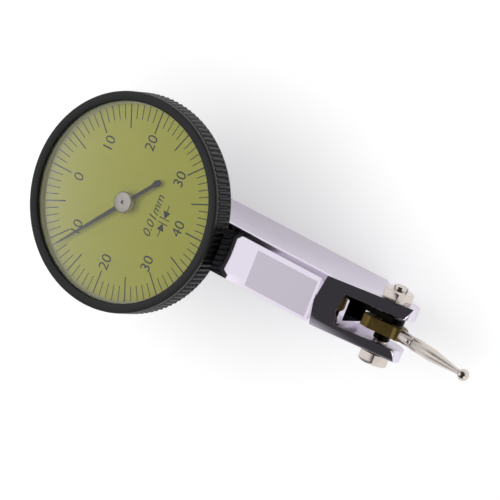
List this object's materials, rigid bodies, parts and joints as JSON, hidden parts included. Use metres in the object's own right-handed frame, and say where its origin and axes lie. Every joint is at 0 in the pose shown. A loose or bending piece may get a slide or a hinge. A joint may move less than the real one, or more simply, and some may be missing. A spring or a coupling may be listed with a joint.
{
  "type": "dial test indicator",
  "caption": "Lever type dial test indicator with a round dial, a turning bezel, three dovetail rails and a ball ended stylus in a fork.",
  "frame": {"origin": "on the dial axis, on the outer face of the lower dovetail rail", "axes": "+X from the dial axis to the stylus, +Z out of the dial's face, +Y to the side of the body"},
  "size_m": [0.0914, 0.038, 0.0256],
  "materials": {
    "satin_chrome": "satin chrome plated steel",
    "black_ring": "black anodised aluminium, knurled",
    "dial_yellow": "yellow enamel with black print",
    "rim": "pale satin",
    "crystal": "clear acrylic",
    "brass": "turned brass",
    "bronze": "aged brass",
    "steel": "turned steel",
    "nickel": "bright nickel plate",
    "blackened": "blackened steel",
    "pointer_black": "black lacquer",
    "ruby": "synthetic ruby",
    "spring_alloy": "blued spring alloy"
  },
  "bodies": {
    "frame": {"body_frame": "satin_chrome", "dial_case": "black_ring", "case_screws": "steel", "bezel_wire": "steel", "movement_plate": "brass", "plate_screws": "steel", "upper_cheek": "brass", "lower_cheek": "brass", "lower_bridge": "brass", "crown_jewels": "ruby", "centre_jewels": "ruby", "hairspring": "spring_alloy", "spring_stud": "brass", "pivot_screw_upper": "nickel", "pivot_screw_lower": "nickel", "lock_nut_upper": "nickel", "lock_nut_lower": "nickel"},
    "bezel": {"bezel": "black_ring", "dial_plate": "dial_yellow", "rim_ring": "rim", "crystal": "crystal"},
    "pointer": {"centre_pinion": "steel", "spring_collet": "brass", "pointer": "pointer_black", "pointer_hub": "nickel"},
    "crown": {"crown_arbor": "steel", "crown_gear": "brass"},
    "lever": {"lever_arm": "blackened", "friction_collar": "blackened", "friction_washer": "steel"},
    "stylus": {"stylus_holder": "bronze", "stylus": "nickel", "stylus_ball": "nickel"}
  },
  "joints": [
    {"name": "bezel_turn", "type": "hinge", "parent": "frame", "child": "bezel", "pos_m": [0, 0, 0.0223], "axis": [0, 0, 1], "continuous": true},
    {"name": "lever_swing", "type": "hinge", "parent": "frame", "child": "lever", "pos_m": [0.0505, 0, 0.0142], "axis": [0, -1, 0], "range_deg": [-2.24, 2.24]},
    {"name": "crown_spin", "type": "hinge", "parent": "frame", "child": "crown", "pos_m": [0, 0, 0.0142], "axis": [0, 1, 0], "range_deg": [-92.42, 92.42]},
    {"name": "pointer_spin", "type": "hinge", "parent": "frame", "child": "pointer", "pos_m": [0, 0, 0.02], "axis": [0, 0, 1], "range_deg": [-362, 362]},
    {"name": "stylus_set", "type": "hinge", "parent": "lever", "child": "stylus", "pos_m": [0.0505, 0, 0.0142], "axis": [0, -1, 0], "range_deg": [-115, 90]}
  ],
  "couplings": [
    {"joint": "crown_spin", "follows": "lever_swing", "ratio": 41.083},
    {"joint": "pointer_spin", "follows": "lever_swing", "ratio": 160.91}
  ]
}
